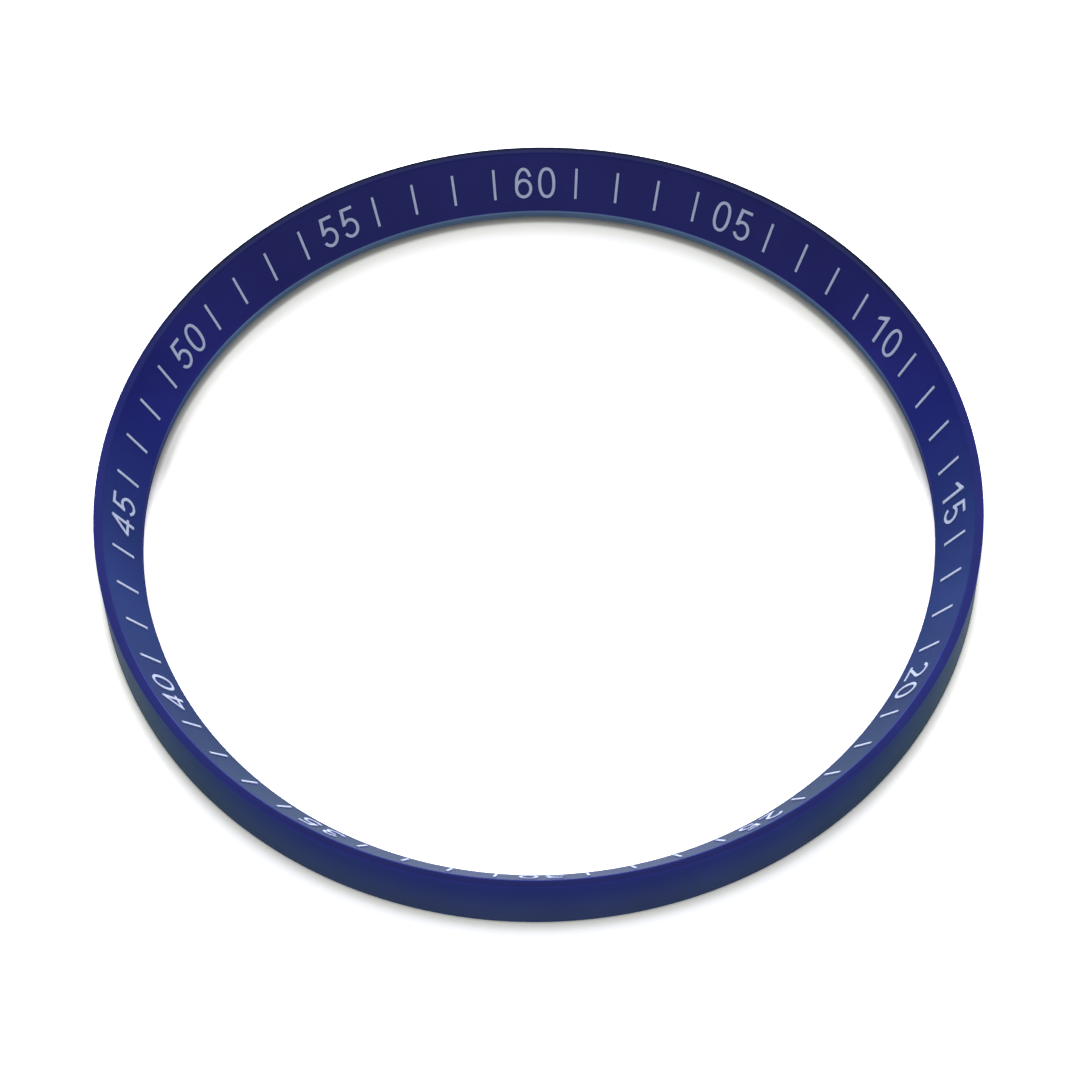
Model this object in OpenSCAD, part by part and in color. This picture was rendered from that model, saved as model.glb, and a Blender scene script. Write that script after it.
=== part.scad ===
// Chapter ring of a watch: one sloped ring that stands between the dial and the crystal, with a printed minute scale.
// Units are millimetres. The origin is the centre of the ring's flat base, +Z points to the crystal,
// and the top of the dial, the place of the numeral 60, is toward +Y. Minutes run clockwise seen from +Z.

/* [Ring] */
// Outer diameter, the one that drops into the watch case
outer_d = 30.5; // [27:0.1:36]
// Width of the ring's base, from the outer wall in to the opening
wall_w = 1.5; // [1.2:0.05:2.2]
// Height from the base to the top edge
ring_h = 2.38; // [2:0.01:3.2]
// Width of the flat edge on top
top_land_w = 0.3; // [0.15:0.05:0.5]
// Height of the slope's foot above the base
inner_land_h = 0.46; // [0.3:0.01:0.7]
// Chamfer under the upright edge around the opening
foot_chamfer = 0.18; // [0.05:0.01:0.25]
// Bevel on the outer edge at the top
top_bevel = 0.05; // [0.02:0.01:0.1]
// Bevel on the outer edge of the base
base_bevel = 0.04; // [0.02:0.01:0.12]

/* [Print] */
// Thickness of the printed ink on the slope
ink_t = 0.03; // [0.01:0.01:0.08]
// Clearance between the slope and the ink, nothing for print
ink_gap = 0; // [0:0.001:0.005]
// Length of a minute mark along the slope
mark_l = 1.16; // [0.8:0.02:1.4]
// Width of a minute mark
mark_w = 0.09; // [0.05:0.01:0.16]
// Height of the numerals along the slope
digit_h = 1.18; // [0.8:0.02:1.4]
// Width of one digit
digit_w = 0.63; // [0.5:0.01:0.7]
// Width of a digit's stroke
stroke_w = 0.108; // [0.07:0.004:0.13]
// Distance from one digit to the next, centre to centre
digit_pitch = 0.85; // [0.76:0.01:0.95]

/* [Hidden] */
outer_r = outer_d / 2;
open_r = outer_r - wall_w;
slope_top_r = outer_r - top_land_w;
slope_run = slope_top_r - open_r;
slope_rise = ring_h - inner_land_h;
slope_a = atan2(slope_rise, slope_run);
// Middle of the slope, where every mark and numeral is centred
mid_r = (open_r + slope_top_r) / 2;
mid_z = (inner_land_h + ring_h) / 2;
// The slope's outward normal, toward the centre and up
n_r = -sin(slope_a);
n_z = cos(slope_a);
half = stroke_w / 2;
minute_a = 6;
// Depth of the cutters that carry the outlines onto the slope
cut_below = 0.3;
cut_above = 0.5;

// The ring, turned from one section: flat base, chamfer, upright edge, slope, flat top and outer wall
module chapter_ring() {
    color("darkblue")
    rotate_extrude()
    polygon([
        [open_r + foot_chamfer, 0],
        [outer_r - base_bevel, 0],
        [outer_r, base_bevel],
        [outer_r, ring_h - top_bevel],
        [outer_r - top_bevel, ring_h],
        [slope_top_r, ring_h],
        [open_r, inner_land_h],
        [open_r, foot_chamfer]
    ]);
}

// A thin cone of ink over the whole slope, from which the marks are taken
module ink_skin() {
    lo = ink_gap;
    hi = ink_gap + ink_t;
    rotate_extrude()
    polygon([
        [open_r + n_r * lo, inner_land_h + n_z * lo],
        [slope_top_r + n_r * lo, ring_h + n_z * lo],
        [slope_top_r + n_r * hi, ring_h + n_z * hi],
        [open_r + n_r * hi, inner_land_h + n_z * hi]
    ]);
}

// Stands a flat outline on the slope at one minute and keeps what lies in the ink
module printed(minute) {
    rotate([0, 0, -minute_a * minute])
    translate([0, mid_r, mid_z])
    rotate([slope_a, 0, 0])
    translate([0, 0, -cut_below])
    linear_extrude(height = cut_below + cut_above)
    children();
}

// Points of an oval line, moved out or in by off
function rim(cx, cy, rx, ry, a0, a1, off, n) = [
    for (i = [0 : n])
        let (a = a0 + (a1 - a0) * i / n)
        let (u = cos(a) / rx)
        let (v = sin(a) / ry)
        let (m = sqrt(u * u + v * v))
        [cx + rx * cos(a) + off * u / m, cy + ry * sin(a) + off * v / m]
];

// A stroke of even width along part of an oval
module bow(cx, cy, rx, ry, a0, a1, n) {
    polygon(concat(
        rim(cx, cy, rx, ry, a0, a1, half, n),
        rim(cx, cy, rx, ry, a1, a0, -half, n)
    ));
}

// A full oval with slightly flattened sides
module oval(cx, cy, rx, ry, bulge) {
    polygon([
        for (i = [0 : 29])
            let (a = i * 12)
            let (u = sign(cos(a)) * pow(abs(cos(a)), bulge))
            let (v = sign(sin(a)) * pow(abs(sin(a)), bulge))
            [cx + rx * u, cy + ry * v]
    ]);
}

module digit_0() {
    difference() {
        oval(digit_w / 2, digit_h / 2, digit_w / 2, digit_h / 2, 0.88);
        oval(digit_w / 2, digit_h / 2, digit_w / 2 - stroke_w, digit_h / 2 - stroke_w, 0.88);
    }
}

module digit_1() {
    stem = 0.73 * digit_w - half;
    flag = 0.17 * digit_w;
    polygon([
        [stem, 0],
        [stem + stroke_w, 0],
        [stem + stroke_w, digit_h],
        [stem + 0.35 * stroke_w, digit_h],
        [flag, 0.76 * digit_h],
        [flag, 0.76 * digit_h - 1.2 * stroke_w],
        [stem, 0.82 * digit_h]
    ]);
}

module digit_2() {
    cx = 0.49 * digit_w;
    cy = 0.705 * digit_h;
    rx = 0.47 * digit_w - half;
    ry = digit_h - cy - half;
    turn = -38;
    out_p = rim(cx, cy, rx, ry, turn, turn, half, 1)[0];
    in_p = rim(cx, cy, rx, ry, turn, turn, -half, 1)[0];
    // Direction of the line's end, down and to the left
    way = [rx * sin(turn), -ry * cos(turn)];
    low_out = out_p[0] + way[0] * (half - out_p[1]) / way[1];
    low_in = in_p[0] + way[0] * (half - in_p[1]) / way[1];
    polygon(concat(
        rim(cx, cy, rx, ry, turn, 168, half, 17),
        rim(cx, cy, rx, ry, 168, turn, -half, 17),
        [[low_in, half], [low_out, half]]
    ));
    translate([low_in - 0.35 * stroke_w, 0])
    square([0.97 * digit_w - low_in + 0.35 * stroke_w, stroke_w]);
}

module digit_3() {
    cx = 0.47 * digit_w;
    split = 0.53 * digit_h;
    top_ry = (digit_h - half - split) / 2;
    low_ry = (split - half) / 2;
    bow(cx, digit_h - half - top_ry, 0.44 * digit_w - half, top_ry, -96, 165, 20);
    bow(cx, half + low_ry, 0.52 * digit_w - half, low_ry, -163, 96, 20);
    translate([cx - 0.16 * digit_w, split - half])
    square([0.21 * digit_w, stroke_w]);
}

module digit_4() {
    stem = 0.66 * digit_w;
    bar = 0.235 * digit_h;
    end = 0.95 * stroke_w;
    top = stem + 0.1 * stroke_w;
    rise = (digit_h - bar - end) / top;
    step = stroke_w * sqrt(1 + 1 / (rise * rise));
    difference() {
        polygon([
            [stem, 0],
            [stem + stroke_w, 0],
            [stem + stroke_w, bar],
            [digit_w, bar],
            [digit_w, bar + stroke_w],
            [stem + stroke_w, bar + stroke_w],
            [stem + stroke_w, digit_h],
            [top, digit_h],
            [0, bar + end],
            [0, bar],
            [stem, bar]
        ]);
        polygon([
            [(stroke_w - end) / rise + step, bar + stroke_w],
            [stem, bar + stroke_w],
            [stem, bar + end + rise * (stem - step)]
        ]);
    }
}

module digit_5() {
    cx = 0.5 * digit_w;
    cy = 0.318 * digit_h;
    rx = digit_w / 2 - half;
    ry = cy - half;
    foot = 0.45 * digit_h;
    top = 0.17 * digit_w;
    polygon([
        [top, digit_h],
        [0.91 * digit_w, digit_h],
        [0.91 * digit_w, digit_h - stroke_w],
        [top + stroke_w, digit_h - stroke_w],
        [0.07 * digit_w + stroke_w, foot],
        [0.07 * digit_w, foot]
    ]);
    bow(cx, cy, rx, ry, 143, -155, 24);
}

module digit_6() {
    cx = digit_w / 2;
    cy = 0.318 * digit_h;
    rx = digit_w / 2 - half;
    top_ry = 0.45 * digit_h;
    top_cy = digit_h - half - top_ry;
    difference() {
        union() {
            bow(cx, top_cy, rx, top_ry, 27, 180, 13);
            translate([0, cy])
            square([stroke_w, top_cy - cy]);
            oval(cx, cy, digit_w / 2, cy, 1);
        }
        oval(cx, cy, digit_w / 2 - stroke_w, cy - stroke_w, 1);
    }
}

module digit(d) {
    translate([-digit_w / 2, -digit_h / 2]) {
        if (d == 0) digit_0();
        if (d == 1) digit_1();
        if (d == 2) digit_2();
        if (d == 3) digit_3();
        if (d == 4) digit_4();
        if (d == 5) digit_5();
        if (d == 6) digit_6();
    }
}

// Two digits, each a patch of ink of its own, tops toward the outer wall
module numeral(minute) {
    tens = floor(minute / 10);
    color("lavender")
    intersection() {
        ink_skin();
        printed(minute) {
            translate([-digit_pitch / 2, 0])
            digit(tens);
            translate([digit_pitch / 2, 0])
            digit(minute - 10 * tens);
        }
    }
}

// Four minute marks, each a patch of ink of its own
module minutes(first) {
    color("lavender")
    intersection() {
        ink_skin();
        union() {
            for (minute = [first : first + 3])
                printed(minute)
                translate([-mark_w / 2, -mark_l / 2])
                square([mark_w, mark_l]);
        }
    }
}

chapter_ring();
numeral(5);  // numeral_05
numeral(10);  // numeral_10
numeral(15);  // numeral_15
numeral(20);  // numeral_20
numeral(25);  // numeral_25
numeral(30);  // numeral_30
numeral(35);  // numeral_35
numeral(40);  // numeral_40
numeral(45);  // numeral_45
numeral(50);  // numeral_50
numeral(55);  // numeral_55
numeral(60);  // numeral_60
minutes(1);  // minutes_01_to_04
minutes(6);  // minutes_06_to_09
minutes(11);  // minutes_11_to_14
minutes(16);  // minutes_16_to_19
minutes(21);  // minutes_21_to_24
minutes(26);  // minutes_26_to_29
minutes(31);  // minutes_31_to_34
minutes(36);  // minutes_36_to_39
minutes(41);  // minutes_41_to_44
minutes(46);  // minutes_46_to_49
minutes(51);  // minutes_51_to_54
minutes(56);  // minutes_56_to_59
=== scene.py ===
# %% [markdown]
# # A watch's chapter ring
#
# A chapter ring is the sloped ring that stands between a watch's dial and its crystal. This one is
# dark blue, 30.5 mm across and 2.38 mm high, and its slope carries a printed minute scale.
# The lesson dresses the measured model of it. The ring is turned again with finely rounded edges, the
# printed marks keep their measured shapes, and both get finishes made from shader nodes.

# %% Load the measured model
import math

import bmesh
import bpy
from mathutils import Matrix, Vector


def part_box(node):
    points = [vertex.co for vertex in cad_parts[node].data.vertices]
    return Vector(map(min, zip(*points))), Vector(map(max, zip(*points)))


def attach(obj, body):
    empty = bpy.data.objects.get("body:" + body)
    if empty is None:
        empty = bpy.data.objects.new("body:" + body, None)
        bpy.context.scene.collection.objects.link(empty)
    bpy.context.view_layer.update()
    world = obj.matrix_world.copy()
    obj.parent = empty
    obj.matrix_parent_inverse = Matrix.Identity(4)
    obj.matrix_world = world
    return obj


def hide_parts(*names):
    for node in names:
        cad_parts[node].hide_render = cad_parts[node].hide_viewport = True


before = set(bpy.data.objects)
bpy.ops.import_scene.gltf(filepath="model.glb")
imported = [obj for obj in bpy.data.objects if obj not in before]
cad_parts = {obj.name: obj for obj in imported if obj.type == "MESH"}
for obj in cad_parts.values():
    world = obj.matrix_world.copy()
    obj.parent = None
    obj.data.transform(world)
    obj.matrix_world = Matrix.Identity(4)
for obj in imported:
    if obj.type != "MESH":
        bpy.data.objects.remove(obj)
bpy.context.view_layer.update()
MM = 0.001
print("measured nodes:", len(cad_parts))

# %% [markdown]
# ## The camera
#
# The photograph was taken from the front and above, from about 12.5 cm away, as a phone takes a small
# part. A camera could be moved by eye until the pictures agree. This one was solved instead: 48 marks
# of even spacing on a round ring fix its place, its lens and its slight roll better than an eye can.
# Its directions are kept as angles, so that they can be read: turn is around the ring, rise is above
# the table and roll is the tilt of the phone.

# %% The camera at the photograph's place
CAMERA = {"turn": 0.9181, "rise": 56.8554, "roll": -1.6553, "far": 125.472, "lens": 120.2076}
AIM = Vector((0.036, -0.3861, 0.0))
SENSOR_W = 36.0
NEAREST, FARTHEST = 0.005, 10.0

turn, rise, roll = (math.radians(CAMERA[k]) for k in ("turn", "rise", "roll"))
back = Vector((math.sin(turn) * math.cos(rise), -math.cos(turn) * math.cos(rise), math.sin(rise)))
level = Vector((math.cos(turn), math.sin(turn), 0.0))
upright = back.cross(level)
right = level * math.cos(roll) + upright * math.sin(roll)
up = upright * math.cos(roll) - level * math.sin(roll)
place = (AIM + back * CAMERA["far"]) * MM

camera_data = bpy.data.cameras.new("photo_camera")
camera_data.lens = CAMERA["lens"]
camera_data.sensor_width = SENSOR_W
camera_data.clip_start = NEAREST
camera_data.clip_end = FARTHEST
camera = bpy.data.objects.new("photo_camera", camera_data)
camera.matrix_world = Matrix.Translation(place) @ Matrix((right, up, back)).transposed().to_4x4()
bpy.context.scene.collection.objects.link(camera)
bpy.context.scene.camera = camera
print("camera at", [round(v / MM, 1) for v in place], "mm")

# %% [markdown]
# ## The ring's section
#
# The real ring is turned on a lathe: a bar is bored, its outside is cut, and the slope is one pass of
# a tool. So one section, swept around the axis, gives the whole shape. It has six corners. The slope
# stands on a low upright edge, and that edge is chamfered below, which leaves a dark gap over the dial.
# Each corner is written as its radius, its height and how far it is rounded, all in millimetres.

# %% Corners of the section
WALL_W = 1.5
TOP_W = 0.3
FOOT_H = 0.46
FOOT_CHAMFER = 0.18

_, ring_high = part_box("chapter_ring")
OUTER_R = ring_high.x / MM
RING_H = ring_high.z / MM
OPEN_R = OUTER_R - WALL_W
SLOPE_TOP_R = OUTER_R - TOP_W
SECTION = {
    "base_inner": (OPEN_R + FOOT_CHAMFER, 0.0, 0.02),
    "base_outer": (OUTER_R, 0.0, 0.04),
    "top_outer": (OUTER_R, RING_H, 0.04),
    "top_inner": (SLOPE_TOP_R, RING_H, 0.03),
    "slope_foot": (OPEN_R, FOOT_H, 0.02),
    "chamfer_top": (OPEN_R, FOOT_CHAMFER, 0.02),
}
print("section corners:", len(SECTION), "slope in degrees:",
      round(math.degrees(math.atan2(RING_H - FOOT_H, SLOPE_TOP_R - OPEN_R)), 1))

# %% [markdown]
# ## Turning it
#
# A cylinder could be cut down to this shape, but Blender has a lathe of its own: bmesh's spin, which
# sweeps the section in one step and keeps every face a clean strip. The last step of a full spin lands
# on the first, so the doubles are merged, and the faces are then turned to point outward.
# The work is done in millimetres, because the rounding that follows is a few hundredths of one, which
# in metres is close to the smallest lengths that bmesh tells apart.

# %% Spin the section around the axis
STEPS = 360
SAME_POINT = 0.001

bm = bmesh.new()
corners = [bm.verts.new((radius, 0.0, height)) for radius, height, _ in SECTION.values()]
edges = [bm.edges.new(pair) for pair in zip(corners, corners[1:] + corners[:1])]
bmesh.ops.spin(bm, geom=corners + edges, cent=(0, 0, 0), axis=(0, 0, 1), dvec=(0, 0, 0),
               angle=math.tau, space=Matrix.Identity(4), steps=STEPS, use_merge=True,
               use_normal_flip=False, use_duplicate=False)
bmesh.ops.remove_doubles(bm, verts=bm.verts, dist=SAME_POINT)
bmesh.ops.recalc_face_normals(bm, faces=bm.faces)
print("faces as turned:", len(bm.faces))

# %% [markdown]
# ## Its rounded edges
#
# A lathe tool and the lacquer over it leave no edge quite sharp, and the rounding shows as a thin line
# of light around the ring. A Bevel modifier would round all edges alike. Here each circle of edges is
# found by its place and bevelled by its own radius, and the mesh is then scaled down to metres.
# Smooth shading would bend the flat faces beside a small bevel, so a Weighted Normal modifier lets the
# large faces set the normals and leaves the turn of the surface to the bevel.

# %% Round the edges and make the piece
NEAR_CORNER = 0.004
ROUNDING_STEPS = 4

for radius, height, rounding in SECTION.values():
    circle = {v for v in bm.verts if abs(math.hypot(v.co.x, v.co.y) - radius) < NEAR_CORNER
              and abs(v.co.z - height) < NEAR_CORNER}
    along = [e for e in bm.edges if e.verts[0] in circle and e.verts[1] in circle]
    bmesh.ops.bevel(bm, geom=along, offset=rounding, offset_type="OFFSET", affect="EDGES",
                    segments=ROUNDING_STEPS, profile=0.5, material=-1, clamp_overlap=True)
bmesh.ops.scale(bm, vec=(MM, MM, MM), verts=bm.verts)
ring_mesh = bpy.data.meshes.new("turned_ring")
bm.to_mesh(ring_mesh)
bm.free()
ring_mesh.polygons.foreach_set("use_smooth", [True] * len(ring_mesh.polygons))
ring = bpy.data.objects.new("turned_ring", ring_mesh)
bpy.context.scene.collection.objects.link(ring)
evening = ring.modifiers.new("even_shading", "WEIGHTED_NORMAL")
evening.mode = "FACE_AREA"
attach(ring, "root")
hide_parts("chapter_ring")
print("ring faces:", len(ring.data.polygons))

# %% [markdown]
# ## Tools for a finish
#
# Colours are written as the hex codes that a paint chart or a picture editor shows. Those are sRGB
# values, and a shader wants linear light, so one function turns one into the other.
# Shader nodes could be added one line at a time, but each would take four or five lines, and the idea
# of a finish gets lost among them. So one function adds a node with its settings and its links.

# %% Colour and node helpers
def colour(code):
    """An sRGB hex code as linear red, green, blue and alpha."""
    parts = [int(code[i:i + 2], 16) / 255 for i in (1, 3, 5)]
    light = [p / 12.92 if p <= 0.04045 else ((p + 0.055) / 1.055) ** 2.4 for p in parts]
    return (*light, 1.0)


def add(tree, kind, settings=None, stops=(), **inputs):
    """A new shader node with its settings, the stops of its colour ramp, and its inputs.

    An input goes by its name, or by _ and its number. It is set to a value or linked to a socket.
    """
    node = tree.nodes.new(kind)
    for name, value in (settings or {}).items():
        setattr(node, name, value)
    if stops:
        elements = node.color_ramp.elements
        while len(elements) < len(stops):
            elements.new(0.5)
        for element, (spot, code) in zip(elements, stops):
            element.position = spot
            element.color = colour(code)
    for name, value in inputs.items():
        key = int(name[1:]) if name[1:].isdigit() else name.replace("_", " ")
        if isinstance(value, bpy.types.NodeSocket):
            tree.links.new(value, node.inputs[key])
        else:
            node.inputs[key].default_value = value
    return node


print("dark blue in linear light:", [round(v, 3) for v in colour("#232382")[:3]])

# %% [markdown]
# ## Millimetres in a finish
#
# A finish on a turned part follows places on the part: a height, a distance from the axis. Those are
# known in millimetres, so the materials work in millimetres too. Object coordinates are in metres and
# stay with the part when it moves, and one node turns them into millimetres.
# A tone that changes along such a measure is written as marks, each a number of millimetres and a
# colour, and a colour ramp draws the colours between them.

# %% Materials that work in millimetres
def new_material(name):
    """An empty material that works by nodes, and its node tree."""
    material = bpy.data.materials.new(name)
    material.use_nodes = True
    material.node_tree.nodes.clear()
    return material, material.node_tree


def place_in_mm(tree):
    """The point of the object that is being shaded, in millimetres."""
    where = add(tree, "ShaderNodeTexCoord").outputs["Object"]
    return add(tree, "ShaderNodeVectorMath", {"operation": "SCALE"}, _0=where, Scale=1 / MM).outputs[0]


def tone_along(tree, measure, marks):
    """A colour that follows a measure, from marks of (millimetres, hex code)."""
    first, last = marks[0][0], marks[-1][0]
    along = add(tree, "ShaderNodeMapRange", Value=measure, From_Min=first, From_Max=last)
    stops = [((at - first) / (last - first), code) for at, code in marks]
    return add(tree, "ShaderNodeValToRGB", stops=stops, Fac=along.outputs[0]).outputs["Color"]


print("millimetres to a metre in the materials:", round(1 / MM))

# %% [markdown]
# ## The blue finish: places on the ring
#
# The finish is a satin metallic lacquer, sprayed over turned brass. Its blue is not the same on the
# slope, the flat top, the outer wall and the small edge around the opening, since each mirrors another
# part of the room, and that difference is laid on as painted reflection, painted light and painted
# shade. Each surface could be a material of its own, but then a hard line would part them.
# Masks do it in one material: each is 0 at its first limit and 1 at its second, with a short blend
# between. Four of them say which surface a point is on, by its distance from the axis, its height or
# how far it faces up, and the other two how far it lies toward the numeral 60, along Y. Those two
# place the painted light on the far side of the small edge and the painted shade on the far flat top.

# %% Masks by place
MASKS = {
    "flat_top": ("facing_up", 0.6, 0.9),
    "inner_edge": ("radius", OPEN_R + 0.03, OPEN_R + 0.01),
    "outer_wall": ("radius", OUTER_R - 0.06, OUTER_R - 0.03),
    "top_height": ("height", RING_H - 0.06, RING_H - 0.02),
    # where painted light lies on the small edge around the opening
    "lit_far_edge": ("ahead", 2.0, 8.0),
    # where painted shade lies on the flat top
    "shaded_far_side": ("ahead", 3.0, 9.0),
}

lacquer, film = new_material("satin_blue_lacquer")
where = place_in_mm(film)
axes = add(film, "ShaderNodeSeparateXYZ", _0=where).outputs
level_place = add(film, "ShaderNodeVectorMath", {"operation": "MULTIPLY"}, _0=where, _1=(1.0, 1.0, 0.0))
from_axis = add(film, "ShaderNodeVectorMath", {"operation": "LENGTH"}, _0=level_place.outputs[0])
facing = add(film, "ShaderNodeTexCoord").outputs["Normal"]
measures = {"ahead": axes["Y"], "height": axes["Z"], "radius": from_axis.outputs["Value"],
            "facing_up": add(film, "ShaderNodeSeparateXYZ", _0=facing).outputs["Z"]}
mask = {}
for name, (kind, low, high) in MASKS.items():
    step = add(film, "ShaderNodeMapRange", Value=measures[kind], From_Min=low, From_Max=high)
    mask[name] = step.outputs[0]
print("masks:", ", ".join(mask))

# %% [markdown]
# ## The blue finish: its painted light and shade
#
# The photograph shows a violet blue where the slope is seen straight on, and a steel blue where it is
# seen at a flat angle. A copy of the room could give all of that by reflection, but the room is not
# known. So the light further down gives the main part of it, and these tones give the rest.
# These tones are painted reflection, painted light and painted shade. On the slope and the flat top
# they are painted reflection, which runs along Y, from the numeral 30 to the numeral 60. The wall gets
# painted light, lighter toward the table that lights it. The small edge around the opening gets painted
# light on its far side, where it faces the lit table inside the ring, with a painted highlight that
# makes it lighter toward its top. On the far side, the flat top carries painted shade that darkens
# outward.

# %% Painted light and shade by place
# the small edge's plain blue, at the sides, where no painted light lies on it
SIDE_EDGE = "#3c4279"
PAINTED_LIGHT_TONES = {
    # painted reflection: the slope's blue changes along Y, from the numeral 30 to the numeral 60
    "slope": ("ahead", [(-7.5, "#35377f"), (-3.9, "#354089"), (0.0, "#2b377c"), (3.9, "#272d7f"),
                        (7.5, "#35378d"), (11.5, "#35377f")]),
    # painted reflection: the flat top's blue changes along Y
    "flat_top": ("ahead", [(-13.2, "#292e69"), (-10.8, "#2d3374"), (-7.5, "#30367c"),
                           (0.0, "#2f357a"), (3.9, "#2a2f78")]),
    # painted shade: on the far side the flat top turns greyer and darker outward
    "far_top_shade": ("radius", [(SLOPE_TOP_R + 0.022, "#272a65"), (SLOPE_TOP_R + 0.084, "#2e325d"),
                           (SLOPE_TOP_R + 0.14, "#2c3058"), (SLOPE_TOP_R + 0.182, "#252a47"),
                           (SLOPE_TOP_R + 0.23, "#1e2238")]),
    # painted light on the small edge's far side, with a painted highlight lighter toward its top
    "inner_edge": ("height", [(0.396, "#5c7694"), (0.442, "#6a86b3")]),
    # painted light: the outer wall is lighter toward its foot, where the table lights it
    "outer_wall": ("height", [(0.19, "#48548a"), (2.023, "#32398b")]),
}

tone = {name: tone_along(film, measures[kind], marks) for name, (kind, marks) in PAINTED_LIGHT_TONES.items()}
# painted light on the far side of the small edge, its plain blue at the sides
tone["inner_edge"] = add(film, "ShaderNodeMix", {"data_type": "RGBA"}, _0=mask["lit_far_edge"],
                         _6=colour(SIDE_EDGE), _7=tone["inner_edge"]).outputs[2]
# the far side's flat top, where painted shade lies
far_top_shade = add(film, "ShaderNodeMath", {"operation": "MULTIPLY"},
              _0=mask["shaded_far_side"], _1=mask["top_height"]).outputs[0]
layers = [(mask["flat_top"], tone["flat_top"]), (mask["inner_edge"], tone["inner_edge"]),
          (mask["outer_wall"], tone["outer_wall"]), (far_top_shade, tone["far_top_shade"])]
blue = tone["slope"]
for cover, over in layers:
    blue = add(film, "ShaderNodeMix", {"data_type": "RGBA"}, _0=cover, _6=blue, _7=over).outputs[2]
print("tones laid on the slope's blue:", len(layers))

# %% [markdown]
# ## The blue finish: the lacquer itself
#
# Sprayed lacquer is never quite even. It lies a little thicker here and thinner there, in soft clouds
# a few millimetres wide, and its surface has a fine satin grain. A single noise could do both, but
# they differ in size and in kind: the clouds change the depth of the blue and the grain only the
# surface, as a bump. Real satin grain is a few hundredths of a millimetre across, which is less than
# one point of the picture, so it is drawn as coarse as 0.11 mm to show.
# Only part of the film is metal, because its fine flakes lie in a clear dyed layer that spreads light
# as a paint does. So the shader is about a third metallic, with a low roughness, and its specular tint
# is the colour that the flakes take at a flat angle. The small edge around the opening, which carries
# painted light on its far side, and the far part of the flat top, which carries painted shade, are not
# metallic.

# %% Clouds, grain and flakes
CLOUD_SIZE, CLOUD_UPRIGHT = 2.5, 0.4
CLOUD_RANGE, CLOUD_DEPTH = (0.35, 0.65), (0.95, 1.05)
GRAIN_SIZE, GRAIN_DEPTH, GRAIN_STRENGTH = 0.11, 0.02, 0.05
FLAKE_SHARE = 0.35
FLAKE_TINT = (0.6, 0.87, 0.3, 1.0)
SATIN = 0.18

upright_place = add(film, "ShaderNodeVectorMath", {"operation": "MULTIPLY"},
                    _0=where, _1=(1.0, 1.0, CLOUD_UPRIGHT))
clouds = add(film, "ShaderNodeTexNoise", Vector=upright_place.outputs[0], Scale=1 / CLOUD_SIZE,
             Detail=3.0, Roughness=0.5)
depth = add(film, "ShaderNodeMapRange", Value=clouds.outputs["Fac"], From_Min=CLOUD_RANGE[0],
            From_Max=CLOUD_RANGE[1], To_Min=CLOUD_DEPTH[0], To_Max=CLOUD_DEPTH[1])
clouded = add(film, "ShaderNodeVectorMath", {"operation": "SCALE"}, _0=blue, Scale=depth.outputs[0])
grain = add(film, "ShaderNodeTexNoise", Vector=where, Scale=1 / GRAIN_SIZE, Detail=2.0)
bump = add(film, "ShaderNodeBump", Height=grain.outputs["Fac"], Strength=GRAIN_STRENGTH,
           Distance=GRAIN_DEPTH * MM)
# no metallic on the small edge around the opening and on the far flat top's painted shade
plain = add(film, "ShaderNodeMath", {"operation": "ADD"}, _0=mask["inner_edge"], _1=far_top_shade)
flakes = add(film, "ShaderNodeMapRange", Value=plain.outputs[0], To_Min=FLAKE_SHARE, To_Max=0.0)
body = add(film, "ShaderNodeBsdfPrincipled", Base_Color=clouded.outputs[0], Metallic=flakes.outputs[0],
           Roughness=SATIN, Specular_IOR_Level=0.0, Specular_Tint=FLAKE_TINT,
           Normal=bump.outputs["Normal"])
add(film, "ShaderNodeOutputMaterial", Surface=body.outputs["BSDF"])
ring.data.materials.append(lacquer)
print("nodes in the lacquer:", len(film.nodes))

# %% [markdown]
# ## The printed scale
#
# The numerals and marks are pad printed: a soft pad picks up a thin pale ink and presses it onto the
# slope. They could be drawn again as text and bent onto the cone, but the measured model already has
# each patch of ink in its place and to its outline. So those meshes stay and only get the ink's finish.
# The ink is matte beside the lacquer, and the pad lays it a little thicker and thinner over about a
# quarter of a millimetre, which lets more or less of the blue through.

# %% Pale printing ink
INK_PATCH = 0.25
INK_TONES = [(0.3, "#b9c5e7"), (0.7, "#c1cdee")]
INK_ROUGHNESS = 0.5

ink, ink_tree = new_material("pale_printing_ink")
cover = add(ink_tree, "ShaderNodeTexNoise", Vector=place_in_mm(ink_tree), Scale=1 / INK_PATCH,
            Detail=2.0)
pale = add(ink_tree, "ShaderNodeValToRGB", stops=INK_TONES, Fac=cover.outputs["Fac"])
body = add(ink_tree, "ShaderNodeBsdfPrincipled", Base_Color=pale.outputs["Color"],
           Roughness=INK_ROUGHNESS)
add(ink_tree, "ShaderNodeOutputMaterial", Surface=body.outputs["BSDF"])

printed = [node for name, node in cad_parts.items() if name != "chapter_ring"]
for patch in printed:
    patch.data.materials.clear()
    patch.data.materials.append(ink)
print("printed nodes:", len(printed))

# %% [markdown]
# ## The table
#
# The ring stands on a white surface that the photograph shows almost burnt out, with a narrow soft
# shade at the ring's foot. The shade is deepest under the numeral 60, inside the ring, gets softer
# toward the sides and is gone at the front of the opening.
# A plain white table can't show both: where it is bright enough to be white in the picture, the
# ring's own shadow is white too. So a painted shadow is laid on the table: its tone is set by the
# distance from the ring, in millimetres from its inner or its outer edge. Inside the ring there are
# three sets of tones, painted shadow for the far side and for the sides and plain white for the front,
# and outside one set of painted shadow is enough.

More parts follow.
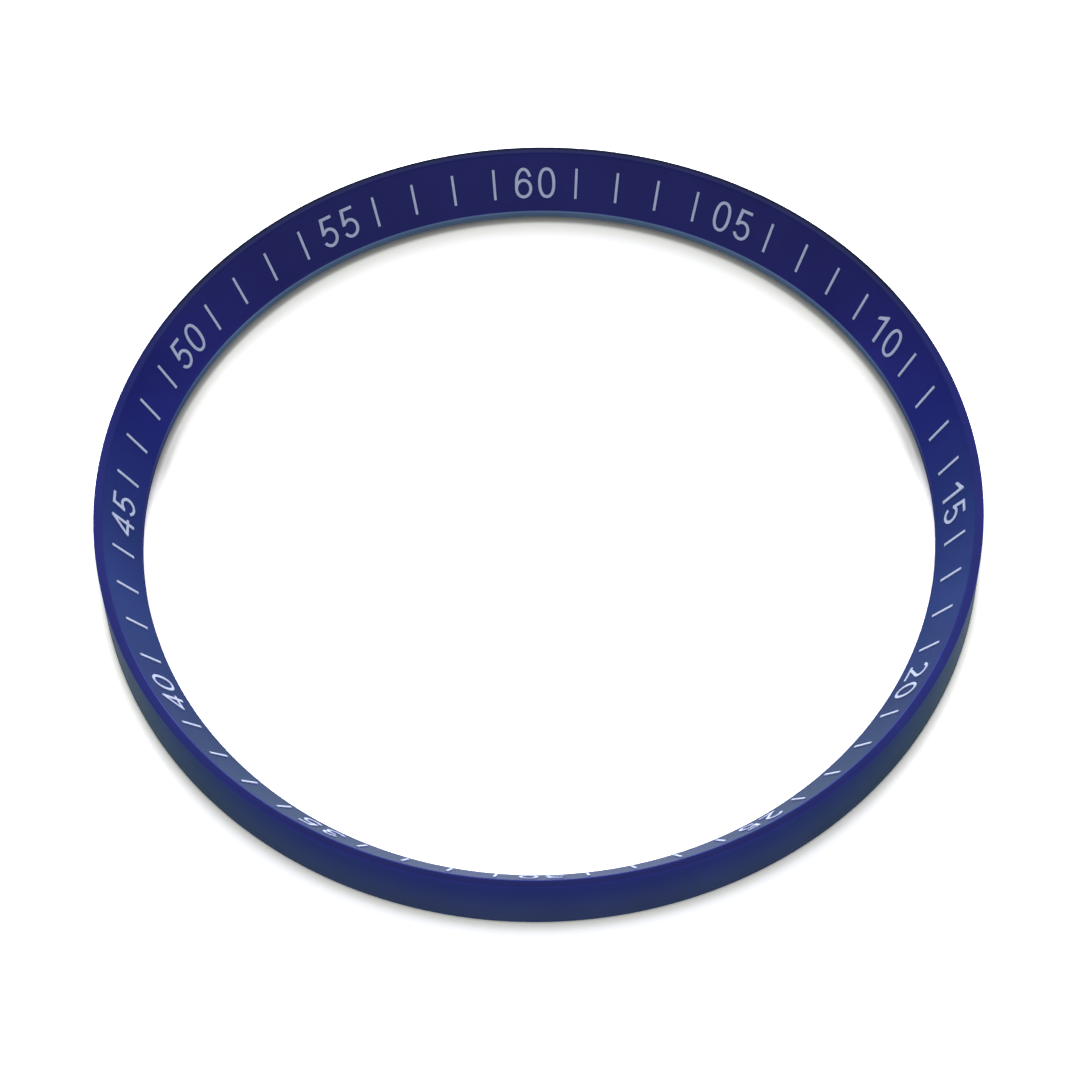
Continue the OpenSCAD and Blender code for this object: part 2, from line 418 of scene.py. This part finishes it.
# %% Painted shadow on the table
FAR_INSIDE_SHADOW = [(1.2, "#e8e8e8"), (0.8, "#e3e3e1"), (0.6, "#dcdcd8"), (0.4, "#d3d3cd"), (0.3, "#cecec7"),
              (0.2, "#cacac3"), (0.15, "#bbbbb3"), (0.1, "#999993"), (0.05, "#8c8c86"),
              (0.0, "#878780"), (-0.05, "#878780"), (-0.12, "#93938c")]
SIDE_INSIDE_SHADOW = [(1.2, "#d8d8d8"), (0.8, "#d2d2d0"), (0.48, "#c8c8c5"), (0.4, "#c0c0bc"),
               (0.32, "#b0b0ac"), (0.26, "#a8a8a4"), (0.2, "#aeaeaa"), (0.15, "#b0b0ac"),
               (0.1, "#9e9e9a"), (0.0, "#8e8e8a")]
NEAR_INSIDE = [(1.2, "#e8e8e8"), (0.0, "#e8e8e8")]
OUTSIDE_SHADOW = [(0.0, "#aeaea7"), (0.05, "#cecec5"), (0.1, "#d3d3ca"), (0.2, "#e2e2d9"),
           (0.3, "#f1f1ea"), (0.4, "#fafaf6"), (0.6, "#ffffff")]
TO_SIDE, TO_NEAR = (7.5, 3.5), (3.0, 0.0)

table, table_tree = new_material("white_table")
where = place_in_mm(table_tree)
ahead = add(table_tree, "ShaderNodeSeparateXYZ", _0=where).outputs["Y"]
reach = add(table_tree, "ShaderNodeVectorMath", {"operation": "LENGTH"}, _0=where).outputs["Value"]
outer_marks = [(OUTER_R + away, code) for away, code in OUTSIDE_SHADOW]
far, side, near = (
    tone_along(table_tree, reach, [(OPEN_R - away, code) for away, code in inner] + outer_marks)
    for inner in (FAR_INSIDE_SHADOW, SIDE_INSIDE_SHADOW, NEAR_INSIDE))
shade = far
for (begin, end), over in ((TO_SIDE, side), (TO_NEAR, near)):
    cover = add(table_tree, "ShaderNodeMapRange", Value=ahead, From_Min=begin, From_Max=end)
    shade = add(table_tree, "ShaderNodeMix", {"data_type": "RGBA"}, _0=cover.outputs[0], _6=shade,
                _7=over).outputs[2]
print("table tones inside the ring:", len(FAR_INSIDE_SHADOW), len(SIDE_INSIDE_SHADOW), len(NEAR_INSIDE))

# %% [markdown]
# ## The table as the ring sees it
#
# Only the camera sees these tones, brightened until the open table is white. To the light and to the
# ring, which mirrors it, the table is a plain near-white surface, so its tones colour nothing on the
# ring. The Light Path node tells these rays apart. The table itself is one large square from a grid.

# %% White table
SHADE_GAIN = 2.6
LIT_TONE, MIRRORED_TONE = 0.9, 0.96
HALF_TABLE = 1.5

path = add(table_tree, "ShaderNodeLightPath").outputs
# the painted shadow on the table, as the camera sees it
shown = add(table_tree, "ShaderNodeVectorMath", {"operation": "SCALE"}, _0=shade, Scale=SHADE_GAIN)
mirrored = add(table_tree, "ShaderNodeMath", {"operation": "MAXIMUM"},
               _0=path["Is Glossy Ray"], _1=path["Is Transmission Ray"])
unseen = add(table_tree, "ShaderNodeMix", {"data_type": "FLOAT"}, _0=mirrored.outputs[0], _2=LIT_TONE,
             _3=MIRRORED_TONE)
white = add(table_tree, "ShaderNodeMix", {"data_type": "RGBA"}, _0=path["Is Camera Ray"],
            _6=unseen.outputs[0], _7=shown.outputs[0])
body = add(table_tree, "ShaderNodeBsdfDiffuse", Color=white.outputs[2])
add(table_tree, "ShaderNodeOutputMaterial", Surface=body.outputs["BSDF"])

bm = bmesh.new()
bmesh.ops.create_grid(bm, x_segments=1, y_segments=1, size=HALF_TABLE)
floor_mesh = bpy.data.meshes.new("white_table")
bm.to_mesh(floor_mesh)
bm.free()
floor = bpy.data.objects.new("white_table", floor_mesh)
bpy.context.scene.collection.objects.link(floor)
floor.data.materials.append(table)
print("table is", 2 * HALF_TABLE, "m wide")

# %% [markdown]
# ## Light
#
# The photograph was lit by a room: a broad bright window low behind the ring and a soft ceiling. The
# camera's side is darker, and the far slope shows it, because it mirrors that side.
# Lamps could be set around the ring, but a lacquer mirrors what lights it, and a lamp would show as a
# hard spot. So the light is drawn on the world as two soft patches, each around one direction, and no
# lamp is used. Limits are cosines of the angle from that direction, where 1 is its middle.

# %% Soft daylight from behind
WINDOW_RISE = math.radians(10)
PATCHES = {
    "ceiling": {"toward": (0.0, 0.0, 1.0), "edge": 0.0, "core": 0.6, "low": 0.15, "high": 0.65},
    "window": {"toward": (0.0, math.cos(WINDOW_RISE), math.sin(WINDOW_RISE)),
               "edge": 0.75, "core": 0.93, "low": 0.0, "high": 6.2},
}

world = bpy.data.worlds.new("soft_daylight")
bpy.context.scene.world = world
world.use_nodes = True
sky = world.node_tree
sky.nodes.clear()
heading = add(sky, "ShaderNodeTexCoord").outputs["Generated"]
glows = []
for patch in PATCHES.values():
    near = add(sky, "ShaderNodeVectorMath", {"operation": "DOT_PRODUCT"}, _0=heading,
               _1=patch["toward"])
    light = add(sky, "ShaderNodeMapRange", {"interpolation_type": "SMOOTHSTEP"},
                Value=near.outputs["Value"], From_Min=patch["edge"], From_Max=patch["core"],
                To_Min=patch["low"], To_Max=patch["high"])
    glows.append(light.outputs[0])
room = add(sky, "ShaderNodeMath", {"operation": "ADD"}, _0=glows[0], _1=glows[1])
glow = add(sky, "ShaderNodeBackground", Color=(1.0, 1.0, 1.0, 1.0), Strength=room.outputs[0])
add(sky, "ShaderNodeOutputWorld", Surface=glow.outputs["Background"])
print("light comes from:", ", ".join(PATCHES))

# %% [markdown]
# ## Colour settings
#
# The Standard view keeps a colour as it is written, where a filmic one would grey the white table.

# %% Colour settings
bpy.context.scene.view_settings.view_transform = "Standard"
